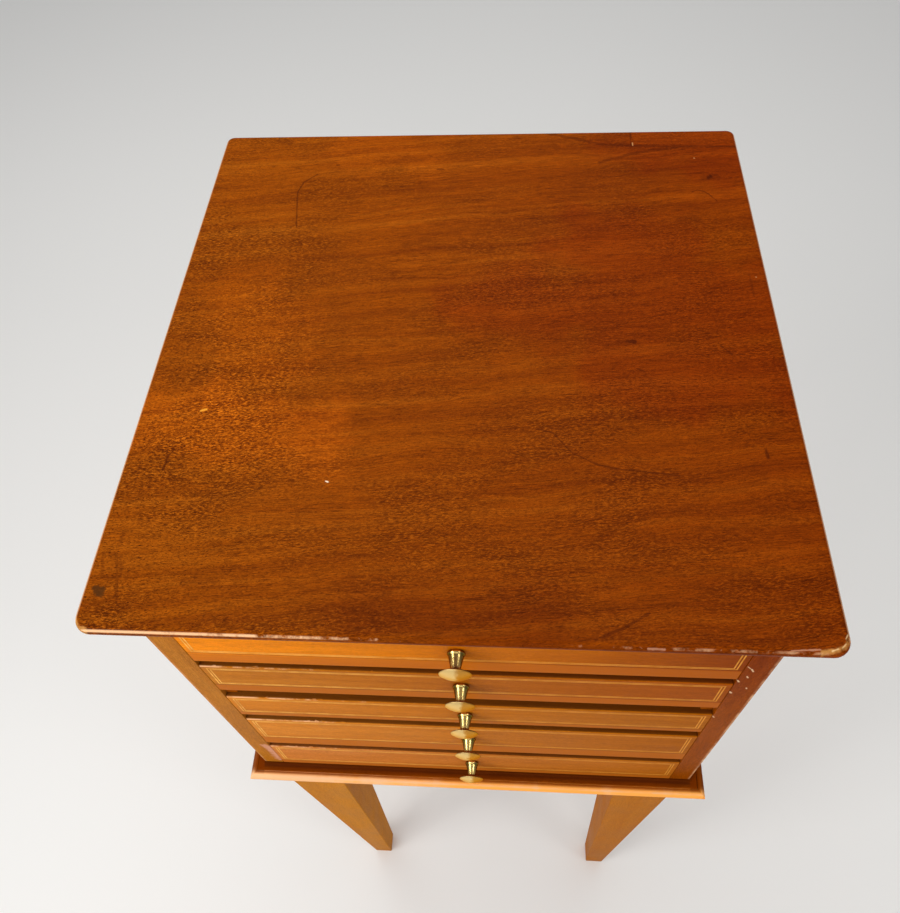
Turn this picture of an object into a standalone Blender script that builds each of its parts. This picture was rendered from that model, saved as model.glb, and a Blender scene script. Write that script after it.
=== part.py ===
"""Inlaid mahogany bedside chest: five shallow drawers over four tapering legs.

The chest stands on z = 0, its front faces -Y and its middle is at x = 0.
All sizes are in metres.
"""
import math

import bmesh
import bpy
from mathutils import Matrix, Vector

# Clearances
FIT = 0.0003
RUNNING = 0.0005
OVERRUN = 0.002

# Top board
TOP_WIDTH = 0.385
TOP_DEPTH = 0.394
TOP_THICKNESS = 0.007
TOP_EDGE_ROUND = 0.0032
TOP_FRONT_CORNER = 0.009
TOP_BACK_CORNER = 0.006
FRONT_OVERHANG = 0.017
SIDE_OVERHANG = 0.0165
BACK_OVERHANG = 0.005

# Case
SIDE_THICKNESS = 0.016
BACK_THICKNESS = 0.006
BACK_REBATE = 0.008
TOP_RAIL_HEIGHT = 0.034
TOP_RAIL_THICKNESS = 0.016
RUNNER_WIDTH = 0.008
RUNNER_SETBACK = 0.003
KICKER_HEIGHT = 0.012

# Base board with its moulded edge
BASE_THICKNESS = 0.014
MOULD_PROJECTION = 0.0125
COVE_START = 0.0008
COVE_REACH = 0.0055
COVE_DROP = 0.0052
NOSE_UNDERCUT = 0.0018
MOULD_STEPS = 6

# Legs
LEG_LENGTH = 0.594
LEG_TOP = 0.052
LEG_FOOT = 0.022
LEG_INSET = 0.002
LEG_ARRIS = 0.0008
TENON_RADIUS = 0.010
TENON_LENGTH = 0.009

# Drawers, from the top one down: the heights of the fronts and of the gaps under them
FRONT_HEIGHTS = (0.052, 0.048, 0.042, 0.066, 0.054)
DRAWER_GAPS = (0.009, 0.015, 0.012, 0.011)
FRONT_THICKNESS = 0.014
FRONT_LAP = 0.006
FRONT_TOP_ROUND = 0.002
FRONT_SIDE_GAP = 0.0005
BOX_SIDE_GAP = 0.0008
BOX_REAR_GAP = 0.0157
BOX_WALL = 0.008
SIDE_DROP = 0.003
BACK_DROP = 0.003
BACK_SET = 0.006
GROOVE_LIFT = 0.004
GROOVE_DEPTH = 0.003
PANEL_THICKNESS = 0.004

# Inlaid rectangle on each front: it sets where the knob stands
INLAY_TOP_MARGIN = 0.004
INLAY_BOTTOM_MARGINS = (0.0165, 0.0135, 0.008, 0.0185, 0.0105)

# Knobs
KNOB_RADIUS = 0.0093
KNOB_PROJECTION = 0.0155
KNOB_SEGMENTS = 24
STUD_RADIUS = 0.0022
STUD_END = 0.001
NUT_RADIUS = 0.0046
NUT_THICKNESS = 0.003
HEX = 6

# Knob outline from its rose to its face: shares of the projection and of the radius
KNOB_OUTLINE_SHARES = (
    (0.00, 0.60), (0.06, 0.64), (0.12, 0.59), (0.17, 0.45), (0.28, 0.37),
    (0.48, 0.35), (0.62, 0.41), (0.71, 0.62), (0.77, 0.90), (0.83, 1.00),
    (0.88, 0.96), (0.94, 0.70), (0.985, 0.36),
)

CORNER_STEPS = 6
EDGE_STEPS = 4

# Derived places
FRONT = -TOP_DEPTH / 2 + FRONT_OVERHANG
BACK = TOP_DEPTH / 2 - BACK_OVERHANG
CASE_HALF = TOP_WIDTH / 2 - SIDE_OVERHANG
OPENING_HALF = CASE_HALF - SIDE_THICKNESS
BACK_PANEL_FRONT = BACK - BACK_THICKNESS
FRONT_HALF = OPENING_HALF - FRONT_SIDE_GAP
BOX_HALF = OPENING_HALF - BOX_SIDE_GAP
BOX_INNER = BOX_HALF - BOX_WALL
BOX_FRONT = FRONT + FRONT_LAP + FIT
BOX_BACK = BACK_PANEL_FRONT - BOX_REAR_GAP
BOX_LENGTH = BOX_BACK - BOX_FRONT

BASE_BOTTOM = LEG_LENGTH + FIT
BASE_TOP = BASE_BOTTOM + BASE_THICKNESS
DRAWER_BOTTOMS = tuple(
    BASE_TOP + FIT + sum(FRONT_HEIGHTS[n + 1:]) + sum(DRAWER_GAPS[n:])
    for n in range(len(FRONT_HEIGHTS))
)
DRAWERS_TOP = DRAWER_BOTTOMS[0] + FRONT_HEIGHTS[0]
RAIL_BOTTOM = DRAWERS_TOP + RUNNING
CASE_TOP = RAIL_BOTTOM + TOP_RAIL_HEIGHT
TOP_BOTTOM = CASE_TOP + FIT


def clear_scene():
    for thing in list(bpy.data.objects):
        bpy.data.objects.remove(thing, do_unlink=True)


def make_material(name, color, roughness, metallic=0.0):
    material = bpy.data.materials.new(name)
    material.use_nodes = True
    shader = material.node_tree.nodes["Principled BSDF"]
    shader.inputs["Base Color"].default_value = (*color, 1.0)
    shader.inputs["Roughness"].default_value = roughness
    shader.inputs["Metallic"].default_value = metallic
    material.diffuse_color = (*color, 1.0)
    return material


def add_object(name, shape, centre, material, parent=None):
    """Turn a bmesh built about its own centre into a named object at a world place."""
    bmesh.ops.recalc_face_normals(shape, faces=shape.faces)
    mesh = bpy.data.meshes.new(name)
    shape.to_mesh(mesh)
    shape.free()
    thing = bpy.data.objects.new(name, mesh)
    bpy.context.collection.objects.link(thing)
    mesh.materials.append(material)
    place = Vector(centre)
    if parent:
        thing.parent = parent
        place = place - parent.location
    thing.location = place
    return thing


def block(size):
    shape = bmesh.new()
    bmesh.ops.create_cube(shape, size=1.0)
    bmesh.ops.scale(shape, vec=size, verts=shape.verts)
    return shape


def span(low, high):
    """Size and centre of a block between two opposite corners."""
    size = [top - bottom for bottom, top in zip(low, high)]
    centre = [(top + bottom) / 2 for bottom, top in zip(low, high)]
    return size, centre


def add_board(name, low, high, material, parent=None):
    size, centre = span(low, high)
    return add_object(name, block(size), centre, material, parent)


def prism(outline, length, turn=None):
    """Extrude a flat outline by a length, half to each side of its plane."""
    shape = bmesh.new()
    corners = [shape.verts.new((x, y, -length / 2)) for x, y in outline]
    face = shape.faces.new(corners)
    raised = bmesh.ops.extrude_face_region(shape, geom=[face])
    moved = [item for item in raised["geom"] if isinstance(item, bmesh.types.BMVert)]
    bmesh.ops.translate(shape, vec=(0, 0, length), verts=moved)
    if turn:
        bmesh.ops.transform(shape, matrix=turn, verts=shape.verts)
    return shape


def loft(rings):
    """Close a solid over rings that have the same number of points."""
    shape = bmesh.new()
    loops = [[shape.verts.new(point) for point in ring] for ring in rings]
    count = len(loops[0])
    for lower, upper in zip(loops, loops[1:]):
        for n in range(count):
            following = (n + 1) % count
            shape.faces.new((lower[n], lower[following], upper[following], upper[n]))
    shape.faces.new(loops[0])
    shape.faces.new(loops[-1])
    return shape


def cylinder(radius, length, along_y=False, segments=KNOB_SEGMENTS):
    shape = bmesh.new()
    bmesh.ops.create_cone(
        shape, cap_ends=True, segments=segments, radius1=radius, radius2=radius, depth=length)
    if along_y:
        turn = Matrix.Rotation(math.pi / 2, 4, "X")
        bmesh.ops.transform(shape, matrix=turn, verts=shape.verts)
    return shape


def boolean(thing, operation, name, shape, centre):
    """Join or cut an object with a hidden shape that follows the same parent."""
    tool = add_object(name, shape, centre, thing.data.materials[0], thing.parent)
    tool.hide_render = True
    tool.display_type = "WIRE"
    modifier = thing.modifiers.new(name, "BOOLEAN")
    modifier.operation = operation
    modifier.solver = "EXACT"
    modifier.object = tool
    return tool


def soften(thing, width, segments=1, chooser=None):
    """Bevel the chosen straight edges of an object's mesh."""
    shape = bmesh.new()
    shape.from_mesh(thing.data)
    edges = [edge for edge in shape.edges if chooser is None or chooser(edge)]
    bmesh.ops.bevel(shape, geom=edges, offset=width, segments=segments, profile=0.5, affect="EDGES")
    shape.to_mesh(thing.data)
    shape.free()


def smooth(thing, degrees=35):
    thing.data.shade_smooth()
    thing.data.set_sharp_from_angle(angle=math.radians(degrees))


def rounded_plan(half_width, front, back, front_radius, back_radius, z):
    """Rectangle with rounded corners, counterclockwise from the front right corner."""
    corners = (
        (half_width - front_radius, front + front_radius, front_radius, -90),
        (half_width - back_radius, back - back_radius, back_radius, 0),
        (-half_width + back_radius, back - back_radius, back_radius, 90),
        (-half_width + front_radius, front + front_radius, front_radius, 180),
    )
    points = []
    for x, y, radius, start in corners:
        for step in range(CORNER_STEPS + 1):
            angle = math.radians(start + 90 * step / CORNER_STEPS)
            points.append((x + radius * math.cos(angle), y + radius * math.sin(angle), z))
    return points


def make_top(material):
    """Thin board whose edge is rounded above and below on all four sides."""
    corner = min(TOP_FRONT_CORNER, TOP_BACK_CORNER)
    edge = min(TOP_EDGE_ROUND, TOP_THICKNESS / 2, corner * 0.9)
    insets = []
    for step in range(EDGE_STEPS + 1):
        angle = math.pi / 2 * step / EDGE_STEPS
        insets.append((edge * (1 - math.sin(angle)), edge * (1 - math.cos(angle))))
    lower = [(inset, -TOP_THICKNESS / 2 + rise) for inset, rise in insets]
    upper = [(inset, TOP_THICKNESS / 2 - rise) for inset, rise in reversed(insets)]
    rings = [
        rounded_plan(
            TOP_WIDTH / 2 - inset, -TOP_DEPTH / 2 + inset, TOP_DEPTH / 2 - inset,
            TOP_FRONT_CORNER - inset, TOP_BACK_CORNER - inset, z)
        for inset, z in lower + upper
    ]
    top = add_object("top_board", loft(rings), (0, 0, TOP_BOTTOM + TOP_THICKNESS / 2), material)
    smooth(top)


def make_sides(material):
    """Side boards with a rebate at the back for the back panel."""
    height = CASE_TOP - BASE_TOP - FIT
    middle = (CASE_TOP + BASE_TOP + FIT) / 2
    for name, hand in (("side_left", -1), ("side_right", 1)):
        outer = hand * CASE_HALF
        inner = hand * OPENING_HALF
        rebate = hand * (OPENING_HALF + BACK_REBATE)
        outline = (
            (outer, FRONT), (inner, FRONT), (inner, BACK_PANEL_FRONT - FIT),
            (rebate, BACK_PANEL_FRONT - FIT), (rebate, BACK), (outer, BACK),
        )
        add_object(name, prism(outline, height), (0, 0, middle), material)


def make_back_panel(material):
    half = OPENING_HALF + BACK_REBATE - FIT
    add_board(
        "back_panel",
        (-half, BACK_PANEL_FRONT, BASE_TOP + FIT),
        (half, BACK, CASE_TOP),
        material)


def mould_profile():
    """Projection and height of the moulded edge: a rounded nose, then a cove above it."""
    ledge = BASE_THICKNESS - COVE_DROP
    reach = MOULD_PROJECTION - COVE_REACH
    points = [(MOULD_PROJECTION - NOSE_UNDERCUT, 0.0)]
    for step in range(MOULD_STEPS + 1):
        angle = math.pi / 2 * step / MOULD_STEPS
        points.append((
            COVE_REACH + reach * math.cos(angle),
            NOSE_UNDERCUT + (ledge - NOSE_UNDERCUT) * math.sin(angle)))
    for step in range(1, MOULD_STEPS + 1):
        angle = math.pi / 2 * step / MOULD_STEPS
        points.append((
            COVE_START + (COVE_REACH - COVE_START) * (1 - math.sin(angle)),
            BASE_THICKNESS - COVE_DROP * math.cos(angle)))
    return points


def leg_places():
    across = CASE_HALF - LEG_INSET - LEG_TOP / 2
    forward = FRONT + LEG_INSET + LEG_TOP / 2
    rearward = BACK - LEG_INSET - LEG_TOP / 2
    return (
        ("front_left", -across, forward), ("front_right", across, forward),
        ("back_left", -across, rearward), ("back_right", across, rearward),
    )


def make_base_board(material):
    """Board under the case, moulded at the front and sides and bored for the leg tenons."""
    rings = []
    for projection, height in mould_profile():
        half = CASE_HALF + projection
        front = FRONT - projection
        rings.append([
            (-half, front, height), (half, front, height), (half, BACK, height), (-half, BACK, height)])
    base = add_object("base_board", loft(rings), (0, 0, BASE_BOTTOM), material)
    depth = TENON_LENGTH + FIT
    for place, x, y in leg_places():
        shape = cylinder(TENON_RADIUS + FIT, depth + OVERRUN)
        centre = (x, y, BASE_BOTTOM + (depth - OVERRUN) / 2)
        boolean(base, "DIFFERENCE", "tenon_hole_" + place, shape, centre)


def chamfered_square(width, z):
    half = width / 2
    cut = half - LEG_ARRIS
    return [
        (cut, -half, z), (half, -cut, z), (half, cut, z), (cut, half, z),
        (-cut, half, z), (-half, cut, z), (-half, -cut, z), (-cut, -half, z)]


def make_legs(material):
    """Square legs that taper on all four faces, each with a round tenon on its head."""
    for place, x, y in leg_places():
        rings = [chamfered_square(LEG_FOOT, 0), chamfered_square(LEG_TOP, LEG_LENGTH)]
        leg = add_object("leg_" + place, loft(rings), (x, y, 0), material)
        shape = cylinder(TENON_RADIUS, TENON_LENGTH + OVERRUN)
        centre = (x, y, LEG_LENGTH + (TENON_LENGTH - OVERRUN) / 2)
        boolean(leg, "UNION", "tenon_" + place, shape, centre)


def make_top_rail(material):
    add_board(
        "top_rail",
        (-OPENING_HALF + FIT, FRONT, RAIL_BOTTOM),
        (OPENING_HALF - FIT, FRONT + TOP_RAIL_THICKNESS, CASE_TOP),
        material)


def make_strip(name, hand, front, bottom, top, material):
    """Strip along the inner face of a side board."""
    edges = sorted((hand * (OPENING_HALF - FIT), hand * (OPENING_HALF - RUNNER_WIDTH)))
    add_board(
        name, (edges[0], front, bottom), (edges[1], BACK_PANEL_FRONT - FIT, top), material)


def make_runners(material):
    """Strips that carry the upper four drawers, and kickers over the top one."""
    for hand_name, hand in (("left", -1), ("right", 1)):
        for n, gap in enumerate(DRAWER_GAPS):
            top = DRAWER_BOTTOMS[n] - FIT
            bottom = DRAWER_BOTTOMS[n] - gap + RUNNING
            name = f"runner_{n + 1}_{hand_name}"
            make_strip(name, hand, FRONT + RUNNER_SETBACK, bottom, top, material)
        bottom = DRAWERS_TOP - SIDE_DROP + RUNNING
        front = FRONT + TOP_RAIL_THICKNESS + FIT
        make_strip("kicker_" + hand_name, hand, front, bottom, bottom + KICKER_HEIGHT, material)


def make_front(name, bottom, height, knob_z, material, parent):
    """Drawer front: lapped over the sides, grooved for the bottom and bored for the knob."""
    back = FRONT + FRONT_THICKNESS
    shoulder = BOX_INNER - FIT
    outline = (
        (-FRONT_HALF, FRONT), (FRONT_HALF, FRONT),
        (FRONT_HALF, FRONT + FRONT_LAP), (shoulder, FRONT + FRONT_LAP),
        (shoulder, back), (-shoulder, back),
        (-shoulder, FRONT + FRONT_LAP), (-FRONT_HALF, FRONT + FRONT_LAP),
    )
    centre = (0, 0, bottom + height / 2)
    front = add_object(name, prism(outline, height), centre, material, parent)
    tip = height / 2 - FIT

    def is_top_arris(edge):
        return all(abs(v.co.y - FRONT) < FIT and v.co.z > tip for v in edge.verts)

    soften(front, FRONT_TOP_ROUND, EDGE_STEPS, is_top_arris)

    groove_low = bottom + GROOVE_LIFT
    size, middle = span(
        (-BOX_HALF, back - GROOVE_DEPTH, groove_low),
        (BOX_HALF, back + OVERRUN, groove_low + PANEL_THICKNESS + 2 * FIT))
    boolean(front, "DIFFERENCE", name + "_groove", block(size), middle)

    length = FRONT_THICKNESS + 2 * OVERRUN
    hole = cylinder(STUD_RADIUS + FIT, length, along_y=True)
    boolean(front, "DIFFERENCE", name + "_bore", hole, (0, FRONT + FRONT_THICKNESS / 2, knob_z))


def make_box_sides(name, bottom, height, material, parent):
    """Drawer sides with a groove near the lower edge for the bottom panel."""
    top = height - SIDE_DROP
    low = GROOVE_LIFT
    high = GROOVE_LIFT + PANEL_THICKNESS + 2 * FIT
    turn = Matrix.Rotation(math.pi / 2, 4, "X")
    for hand_name, hand in (("left", -1), ("right", 1)):
        outer = hand * BOX_HALF
        inner = hand * BOX_INNER
        deep = hand * (BOX_INNER + GROOVE_DEPTH)
        outline = (
            (outer, 0), (inner, 0), (inner, low), (deep, low),
            (deep, high), (inner, high), (inner, top), (outer, top),
        )
        centre = (0, BOX_FRONT + BOX_LENGTH / 2, bottom)
        side_name = f"{name}_side_{hand_name}"
        add_object(side_name, prism(outline, BOX_LENGTH, turn), centre, material, parent)


def make_box_panel(name, bottom, material, parent):
    half = BOX_INNER + GROOVE_DEPTH - FIT
    front = FRONT + FRONT_THICKNESS - GROOVE_DEPTH + FIT
    low = bottom + GROOVE_LIFT + FIT
    add_board(
        name + "_bottom", (-half, front, low), (half, BOX_BACK, low + PANEL_THICKNESS),
        material, parent)


def make_box_back(name, bottom, height, material, parent):
    """Drawer back: it stands on the bottom panel, which runs on under it."""
    half = BOX_INNER - FIT
    rear = BOX_BACK - BACK_SET
    low = bottom + GROOVE_LIFT + PANEL_THICKNESS + 2 * FIT
    high = bottom + height - SIDE_DROP - BACK_DROP
    add_board(
        name + "_back", (-half, rear - BOX_WALL, low), (half, rear, high), material, parent)


def make_knob(name, knob_z, material, parent):
    """Turned knob with the stud that passes through the drawer front."""
    stud = FRONT_THICKNESS + 2 * FIT + NUT_THICKNESS + STUD_END
    outline = [(stud, STUD_RADIUS), (0.0, STUD_RADIUS)]
    outline += [
        (-along * KNOB_PROJECTION, radius * KNOB_RADIUS)
        for along, radius in KNOB_OUTLINE_SHARES]
    rings = []
    for along, radius in outline:
        rings.append([
            (radius * math.cos(2 * math.pi * n / KNOB_SEGMENTS), along,
             radius * math.sin(2 * math.pi * n / KNOB_SEGMENTS))
            for n in range(KNOB_SEGMENTS)])
    knob = add_object(name + "_knob", loft(rings), (0, FRONT - FIT, knob_z), material, parent)
    smooth(knob)


def make_nut(name, knob_z, material, parent):
    shape = cylinder(NUT_RADIUS, NUT_THICKNESS, along_y=True, segments=HEX)
    y = FRONT + FRONT_THICKNESS + FIT + NUT_THICKNESS / 2
    nut = add_object(name + "_nut", shape, (0, y, knob_z), material, parent)
    hole = cylinder(STUD_RADIUS + FIT, NUT_THICKNESS + 2 * OVERRUN, along_y=True)
    boolean(nut, "DIFFERENCE", name + "_nut_bore", hole, (0, y, knob_z))


def make_drawer(n, materials):
    """One drawer, carried by an empty that slides along -Y."""
    name = f"drawer_{n + 1}"
    bottom = DRAWER_BOTTOMS[n]
    height = FRONT_HEIGHTS[n]
    knob_z = bottom + (INLAY_BOTTOM_MARGINS[n] + height - INLAY_TOP_MARGIN) / 2
    slide = bpy.data.objects.new(name + "_slide", None)
    slide.location = (0, FRONT, bottom + height / 2)
    bpy.context.collection.objects.link(slide)
    make_front(name + "_front", bottom, height, knob_z, materials["front"], slide)
    make_box_sides(name, bottom, height, materials["lining"], slide)
    make_box_panel(name, bottom, materials["lining"], slide)
    make_box_back(name, bottom, height, materials["lining"], slide)
    make_knob(name, knob_z, materials["brass"], slide)
    make_nut(name, knob_z, materials["brass"], slide)


def main():
    clear_scene()
    materials = {
        "top": make_material("polished_mahogany", (0.27, 0.07, 0.010), 0.28),
        "case": make_material("case_mahogany", (0.30, 0.10, 0.018), 0.35),
        "front": make_material("drawer_mahogany", (0.42, 0.15, 0.03), 0.3),
        "lining": make_material("drawer_lining", (0.45, 0.27, 0.12), 0.6),
        "brass": make_material("brass", (0.78, 0.56, 0.20), 0.22, 1.0),
    }
    make_top(materials["top"])
    make_sides(materials["case"])
    make_back_panel(materials["case"])
    make_base_board(materials["case"])
    make_legs(materials["case"])
    make_top_rail(materials["case"])
    make_runners(materials["lining"])
    for n in range(len(FRONT_HEIGHTS)):
        make_drawer(n, materials)


if __name__ == "__main__":
    main()
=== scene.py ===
"""Finish for an inlaid mahogany nightstand: worn polish, pale inlaid lines and brass knobs."""
import math
import random
from functools import partial

import bmesh
import bpy
from mathutils import Euler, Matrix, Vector


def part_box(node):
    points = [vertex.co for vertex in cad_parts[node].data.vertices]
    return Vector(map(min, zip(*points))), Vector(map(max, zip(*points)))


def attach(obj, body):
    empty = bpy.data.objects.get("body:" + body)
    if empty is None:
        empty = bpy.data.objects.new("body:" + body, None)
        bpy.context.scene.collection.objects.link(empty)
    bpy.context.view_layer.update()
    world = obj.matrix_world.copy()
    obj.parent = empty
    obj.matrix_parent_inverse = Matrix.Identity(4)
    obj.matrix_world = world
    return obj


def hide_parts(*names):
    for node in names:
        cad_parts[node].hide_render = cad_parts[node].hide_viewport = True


bl_info = {
    "name": "Inlaid Nightstand",
    "version": (1, 0, 0),
    "blender": (4, 5, 0),
    "location": "View3D > Sidebar > Nightstand",
    "description": "Builds the finished pieces of an inlaid mahogany nightstand over its solids",
    "category": "Add Mesh",
}

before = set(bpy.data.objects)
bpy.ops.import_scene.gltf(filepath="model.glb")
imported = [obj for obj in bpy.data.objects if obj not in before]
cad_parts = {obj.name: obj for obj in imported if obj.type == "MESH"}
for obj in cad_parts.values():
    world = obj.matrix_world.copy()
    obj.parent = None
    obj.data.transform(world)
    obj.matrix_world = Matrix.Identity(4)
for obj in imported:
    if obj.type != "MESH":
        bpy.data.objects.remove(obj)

DRAWERS = (1, 2, 3, 4, 5)
LEGS = ("leg_front_left", "leg_front_right", "leg_back_left", "leg_back_right")
HANDS = (("left", -1), ("right", 1))
MM = 0.001

# Widths, radii and depths that the settings leave fixed
LEG_FOOT = 22 * MM
LEG_FOOT_ARRIS = 0.6 * MM
TENON_RADIUS = 10 * MM
STUD_RADIUS = 2.2 * MM
STUD_TIP = 0.6 * MM
STUD_BORE = 2.5 * MM
NUT_ARRIS = 0.3 * MM
BACK_ARRIS, RAIL_ARRIS, STRIP_ARRIS = 0.3 * MM, 0.4 * MM, 0.5 * MM
BOX_SIDE_ARRIS, BOX_PANEL_ARRIS = 0.6 * MM, 0.4 * MM
FRONT_TOP_ROUND, FRONT_LOWER_ARRIS = 1.8 * MM, 0.5 * MM
LINE_DEPTH, GROOVE_DEPTH = 0.6 * MM, 0.62 * MM
FRONT_NICKS = 7

# Gap round what is let in, how far the inlaid lines stand proud, how far a cutter goes past the
# wood that it cuts, and the gap in a hidden joint
SEAM = 0.00006
PROUD = 0.00003
PAST = 0.004
HIDDEN_FIT = 0.0003

TOP_LOW, TOP_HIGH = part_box("top_board")
BASE_LOW, BASE_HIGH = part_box("base_board")
CASE_LOW, CASE_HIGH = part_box("side_left")[0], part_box("side_right")[1]
FRONT_Y = CASE_LOW.y

# Heights of each inlaid rectangle's outer line over its drawer front's lower edge
LINE_BOTTOMS = (16.5 * MM, 13.5 * MM, 8.0 * MM, 18.5 * MM, 10.5 * MM)

# Tints of each drawer front at its left end and at its right end: painted light at the left end
# and painted shade at the right
FRONT_LIGHT_TINTS = (
    ((2.0, 1.7, 0.3), (0.47, 0.2, 0.02)),
    ((1.15, 1.1, 0.9), (0.74, 0.43, 0.1)),
    ((1.4, 1.3, 1.2), (0.8, 0.62, 0.1)),
    ((1.46, 1.38, 1.5), (0.9, 0.7, 0.1)),
    ((1.5, 1.4, 3.0), (0.97, 0.8, 0.4)),
)

# Tints of wood left as it is, painted shade at the top's right end and on the legs at the right,
# the left side board behind its front edge, which is painted lit, and painted shade on the right
# one's edge under the top's overhang
EVEN_TINT = (1.0, 1.0, 1.0)
RIGHT_SHADE_TINT = (0.78, 0.58, 0.4)
RIGHT_LEG_SHADE_TINT = (0.86, 0.76, 0.5)
BEHIND_EDGE_TINT = (0.74, 0.5, 0.25)
OVERHANG_SHADE_TINT = (0.8, 0.6, 0.2)

# Camera, solved from the edges of the top, the case and the feet
CAMERA_PLACE = (0.0304, -0.3408, 1.3691)
CAMERA_PAN = -7.38
CAMERA_TILT = 53.35
CAMERA_ROLL = -5.475
CAMERA_LENS = 34.132
CAMERA_SHIFT = (0.0027, -0.0834)

# Soft lamps: name, place, what they face, width in metres and power in watts
LAMPS = (
    ("window_left", (-0.8, -0.95, 1.35), (0, -0.15, 0.85), 0.7, 7),
    ("window_front", (0.1, -2.2, 1.9), (0, -0.15, 0.8), 1.6, 13),
    ("lamp_left", (-1.08, -0.64, 1.9), (0, -0.15, 0.85), 0.4, 6),
    ("lamp_right", (0.95, -0.64, 1.85), (0, -0.15, 0.85), 0.35, 3),
    ("ceiling", (-0.3, 0.8, 2.8), (-0.1, 0.2, 0), 2.2, 28),
)
WORLD_COLOUR = (0.95, 0.97, 1.0, 1.0)
WORLD_STRENGTH = 0.38

# Chips of the top's edges in millimetres: to the right of the middle, behind the front edge,
# below the upper face, then length and width
TOP_CHIPS = (
    (188.5, 2.5, 0.4, 3.2, 1.7), (190.5, 6.5, 0.2, 1.6, 2.2), (183.5, -0.2, 1.6, 3.0, 0.9),
    (160.0, -0.5, 0.9, 2.6, 0.8), (122.0, -0.6, 0.9, 2.0, 0.8), (26.0, -0.6, 1.0, 2.2, 0.8),
    (-56.0, -0.4, 0.8, 3.0, 0.9), (-72.0, -0.5, 0.8, 1.8, 0.8), (-140.0, -0.6, 1.0, 3.4, 0.8),
)
# The strip let into the top's back right corner: its left end, its front and its depth
REPAIR_LEFT, REPAIR_FRONT, REPAIR_DEPTH = 117.3 * MM, 180.4 * MM, 4.2 * MM


def srgb(code):
    """Linear colour of an sRGB hex value."""
    channels = [int(code[n:n + 2], 16) / 255 for n in (1, 3, 5)]
    return tuple(
        c / 12.92 if c <= 0.04045 else ((c + 0.055) / 1.055) ** 2.4 for c in channels)


# Settings that a user would change

# Colours of each wood's dark streaks, its main ones and its light streaks
STREAKS = ("dark", "main", "light")
WOODS = (
    ("top", "the top", "#6C2802", "#984803", "#B4600E"),
    ("case", "the case", "#702C00", "#8E4202", "#A05008"),
    ("front", "the drawer fronts", "#9C5A14", "#B06A1C", "#C07C2A"),
    # The legs' tones are yellower than the case's as painted light, bounced up from a yellow floor
    ("leg", "the legs", "#B66A0C", "#C47A10", "#CE8418"),
    ("lining", "the drawer boxes", "#9A744A", "#B8946A", "#CDB088"),
)


def length(name, description, millimetres):
    return bpy.props.FloatProperty(
        name=name, description=description, default=millimetres * MM,
        min=0.0, unit="LENGTH", precision=5)


def colour(name, description, code):
    return bpy.props.FloatVectorProperty(
        name=name, description=description, default=srgb(code), size=3,
        min=0.0, max=1.0, subtype="COLOR")


class NightstandSizes(bpy.types.PropertyGroup):
    front_corner: length("Front corners", "Radius of the top's front corners in plan", 9.0)
    back_corner: length("Back corners", "Radius of the top's back corners in plan", 6.0)
    edge_round: length("Top edge", "Radius of the top's rounded edge", 3.2)
    arris: length("Arris", "Width of the eased edges of the boards", 0.7)
    leg_arris: length("Leg arris", "Width of the eased edges of the legs", 0.9)
    line_width: length("Line width", "Width of each pale inlaid line", 0.8)
    line_pitch: length("Line pitch", "Distance between the two inlaid lines", 1.8)
    line_margin: length("Line margin", "From a drawer front's end to the outer line", 3.0)
    line_top: length("Line top", "From a drawer front's upper edge to the outer line", 4.0)


class NightstandColours(bpy.types.PropertyGroup):
    front_strip: colour("Front strips", "Redder strip below the inlaid lines", "#B45E14")
    line: colour("Inlaid lines", "Pale wood of the inlaid lines", "#F0B458")
    brass: colour("Brass", "Clean brass of the knobs", "#ECCB7C")
    # Bright brass paints the lit left half of each knob's face, and deep brass its shaded right
    # half
    brass_lit: colour("Bright brass", "Brass kept bright by handling", "#FFDC94")
    brass_deep: colour("Deep brass", "Browner brass of the knobs' faces", "#DC9E48")
    tarnish: colour("Tarnish", "Brown tarnish in the turned hollows", "#54400C")
    # The nose's colour is painted light: the moulding's nose painted as if sunlit
    nose: colour("Nose", "Sunlit nose of the moulded base", "#FFAC50")
    # Worn wood is also laid on rounded edges and on the moulding's nose as painted highlights
    worn: colour("Worn wood", "Bare wood where the polish is worn through", "#F0BC8C")
    floor: colour("Floor", "Plain pale floor", "#F2F0EC")


for wood_key, whose, *codes in WOODS:
    for streak, code in zip(STREAKS, codes):
        NightstandColours.__annotations__[f"{wood_key}_{streak}"] = colour(
            f"{wood_key}, {streak}".capitalize(), f"{streak} streaks of {whose}".capitalize(), code)


def tones_of(colours, wood_key):
    """Dark, main and light tone of a wood, from the settings."""
    return [getattr(colours, f"{wood_key}_{streak}") for streak in STREAKS]


# Modelling


def only(thing):
    bpy.ops.object.select_all(action="DESELECT")
    thing.select_set(True)
    bpy.context.view_layer.objects.active = thing


def pick(thing, kind, test):
    """In edit mode, select the vertices, edges or faces that pass a test, and nothing else."""
    bpy.ops.mesh.select_mode(type=kind)
    bpy.ops.mesh.select_all(action="DESELECT")
    shape = bmesh.from_edit_mesh(thing.data)
    parts = {"VERT": shape.verts, "EDGE": shape.edges, "FACE": shape.faces}[kind]
    for part in parts:
        if test(part):
            part.select_set(True)
    shape.select_flush_mode()
    bmesh.update_edit_mesh(thing.data)


def near(value, goal):
    return abs(value - goal) < 2e-5


def along(axis, *places):
    """A test for edges whose two ends both lie at one of the places along an axis."""
    return lambda edge: any(all(near(v.co[axis], place) for v in edge.verts) for place in places)


def bevel_edges(thing, width, segments, test):
    only(thing)
    bpy.ops.object.mode_set(mode="EDIT")
    pick(thing, "EDGE", test)
    bpy.ops.mesh.bevel(offset=width, segments=segments, affect="EDGES")
    bpy.ops.object.mode_set(mode="OBJECT")


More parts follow.
